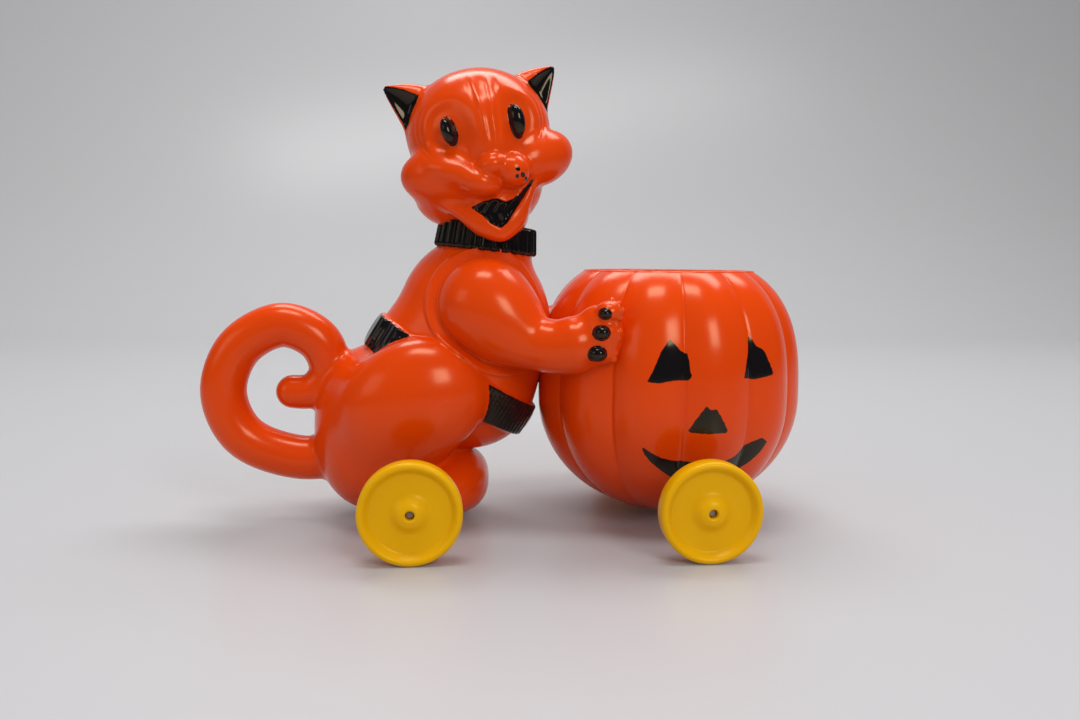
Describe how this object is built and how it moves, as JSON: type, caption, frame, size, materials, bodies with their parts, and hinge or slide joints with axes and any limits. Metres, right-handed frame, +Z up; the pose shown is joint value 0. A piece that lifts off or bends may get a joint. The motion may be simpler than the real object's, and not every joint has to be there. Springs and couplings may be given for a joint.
{
  "type": "halloween candy dish",
  "caption": "Toy cat with a curled tail pushing an open ribbed pumpkin bowl with a carved-face design, moulded as one hollow dish that rolls on wheels.",
  "frame": {"origin": "on the floor, under the middle of the toy's bounding box", "axes": "+X the way the toy rolls, from the cat's tail to the pumpkin; +Y across, along the axles, away from the side that the cat's face looks to; +Z up"},
  "size_m": [0.186, 0.1114, 0.1407],
  "materials": {
    "orange_plastic": "glossy moulded orange hard plastic with black painted details",
    "yellow_plastic": "semi-gloss moulded yellow hard plastic",
    "axle_steel": "dull drawn steel wire"
  },
  "bodies": {
    "shell": {"right_half_shell": "orange_plastic", "left_half_shell": "orange_plastic"},
    "rear_wheelset": {"rear_axle": "axle_steel", "rear_right_wheel": "yellow_plastic", "rear_left_wheel": "yellow_plastic"},
    "front_wheelset": {"front_axle": "axle_steel", "front_right_wheel": "yellow_plastic", "front_left_wheel": "yellow_plastic"}
  },
  "joints": [
    {"name": "rear_axle_spin", "type": "hinge", "parent": "shell", "child": "rear_wheelset", "pos_m": [-0.0285, 0, 0.014], "axis": [0, 1, 0], "continuous": true},
    {"name": "front_axle_spin", "type": "hinge", "parent": "shell", "child": "front_wheelset", "pos_m": [0.0517, 0, 0.014], "axis": [0, 1, 0], "continuous": true}
  ]
}
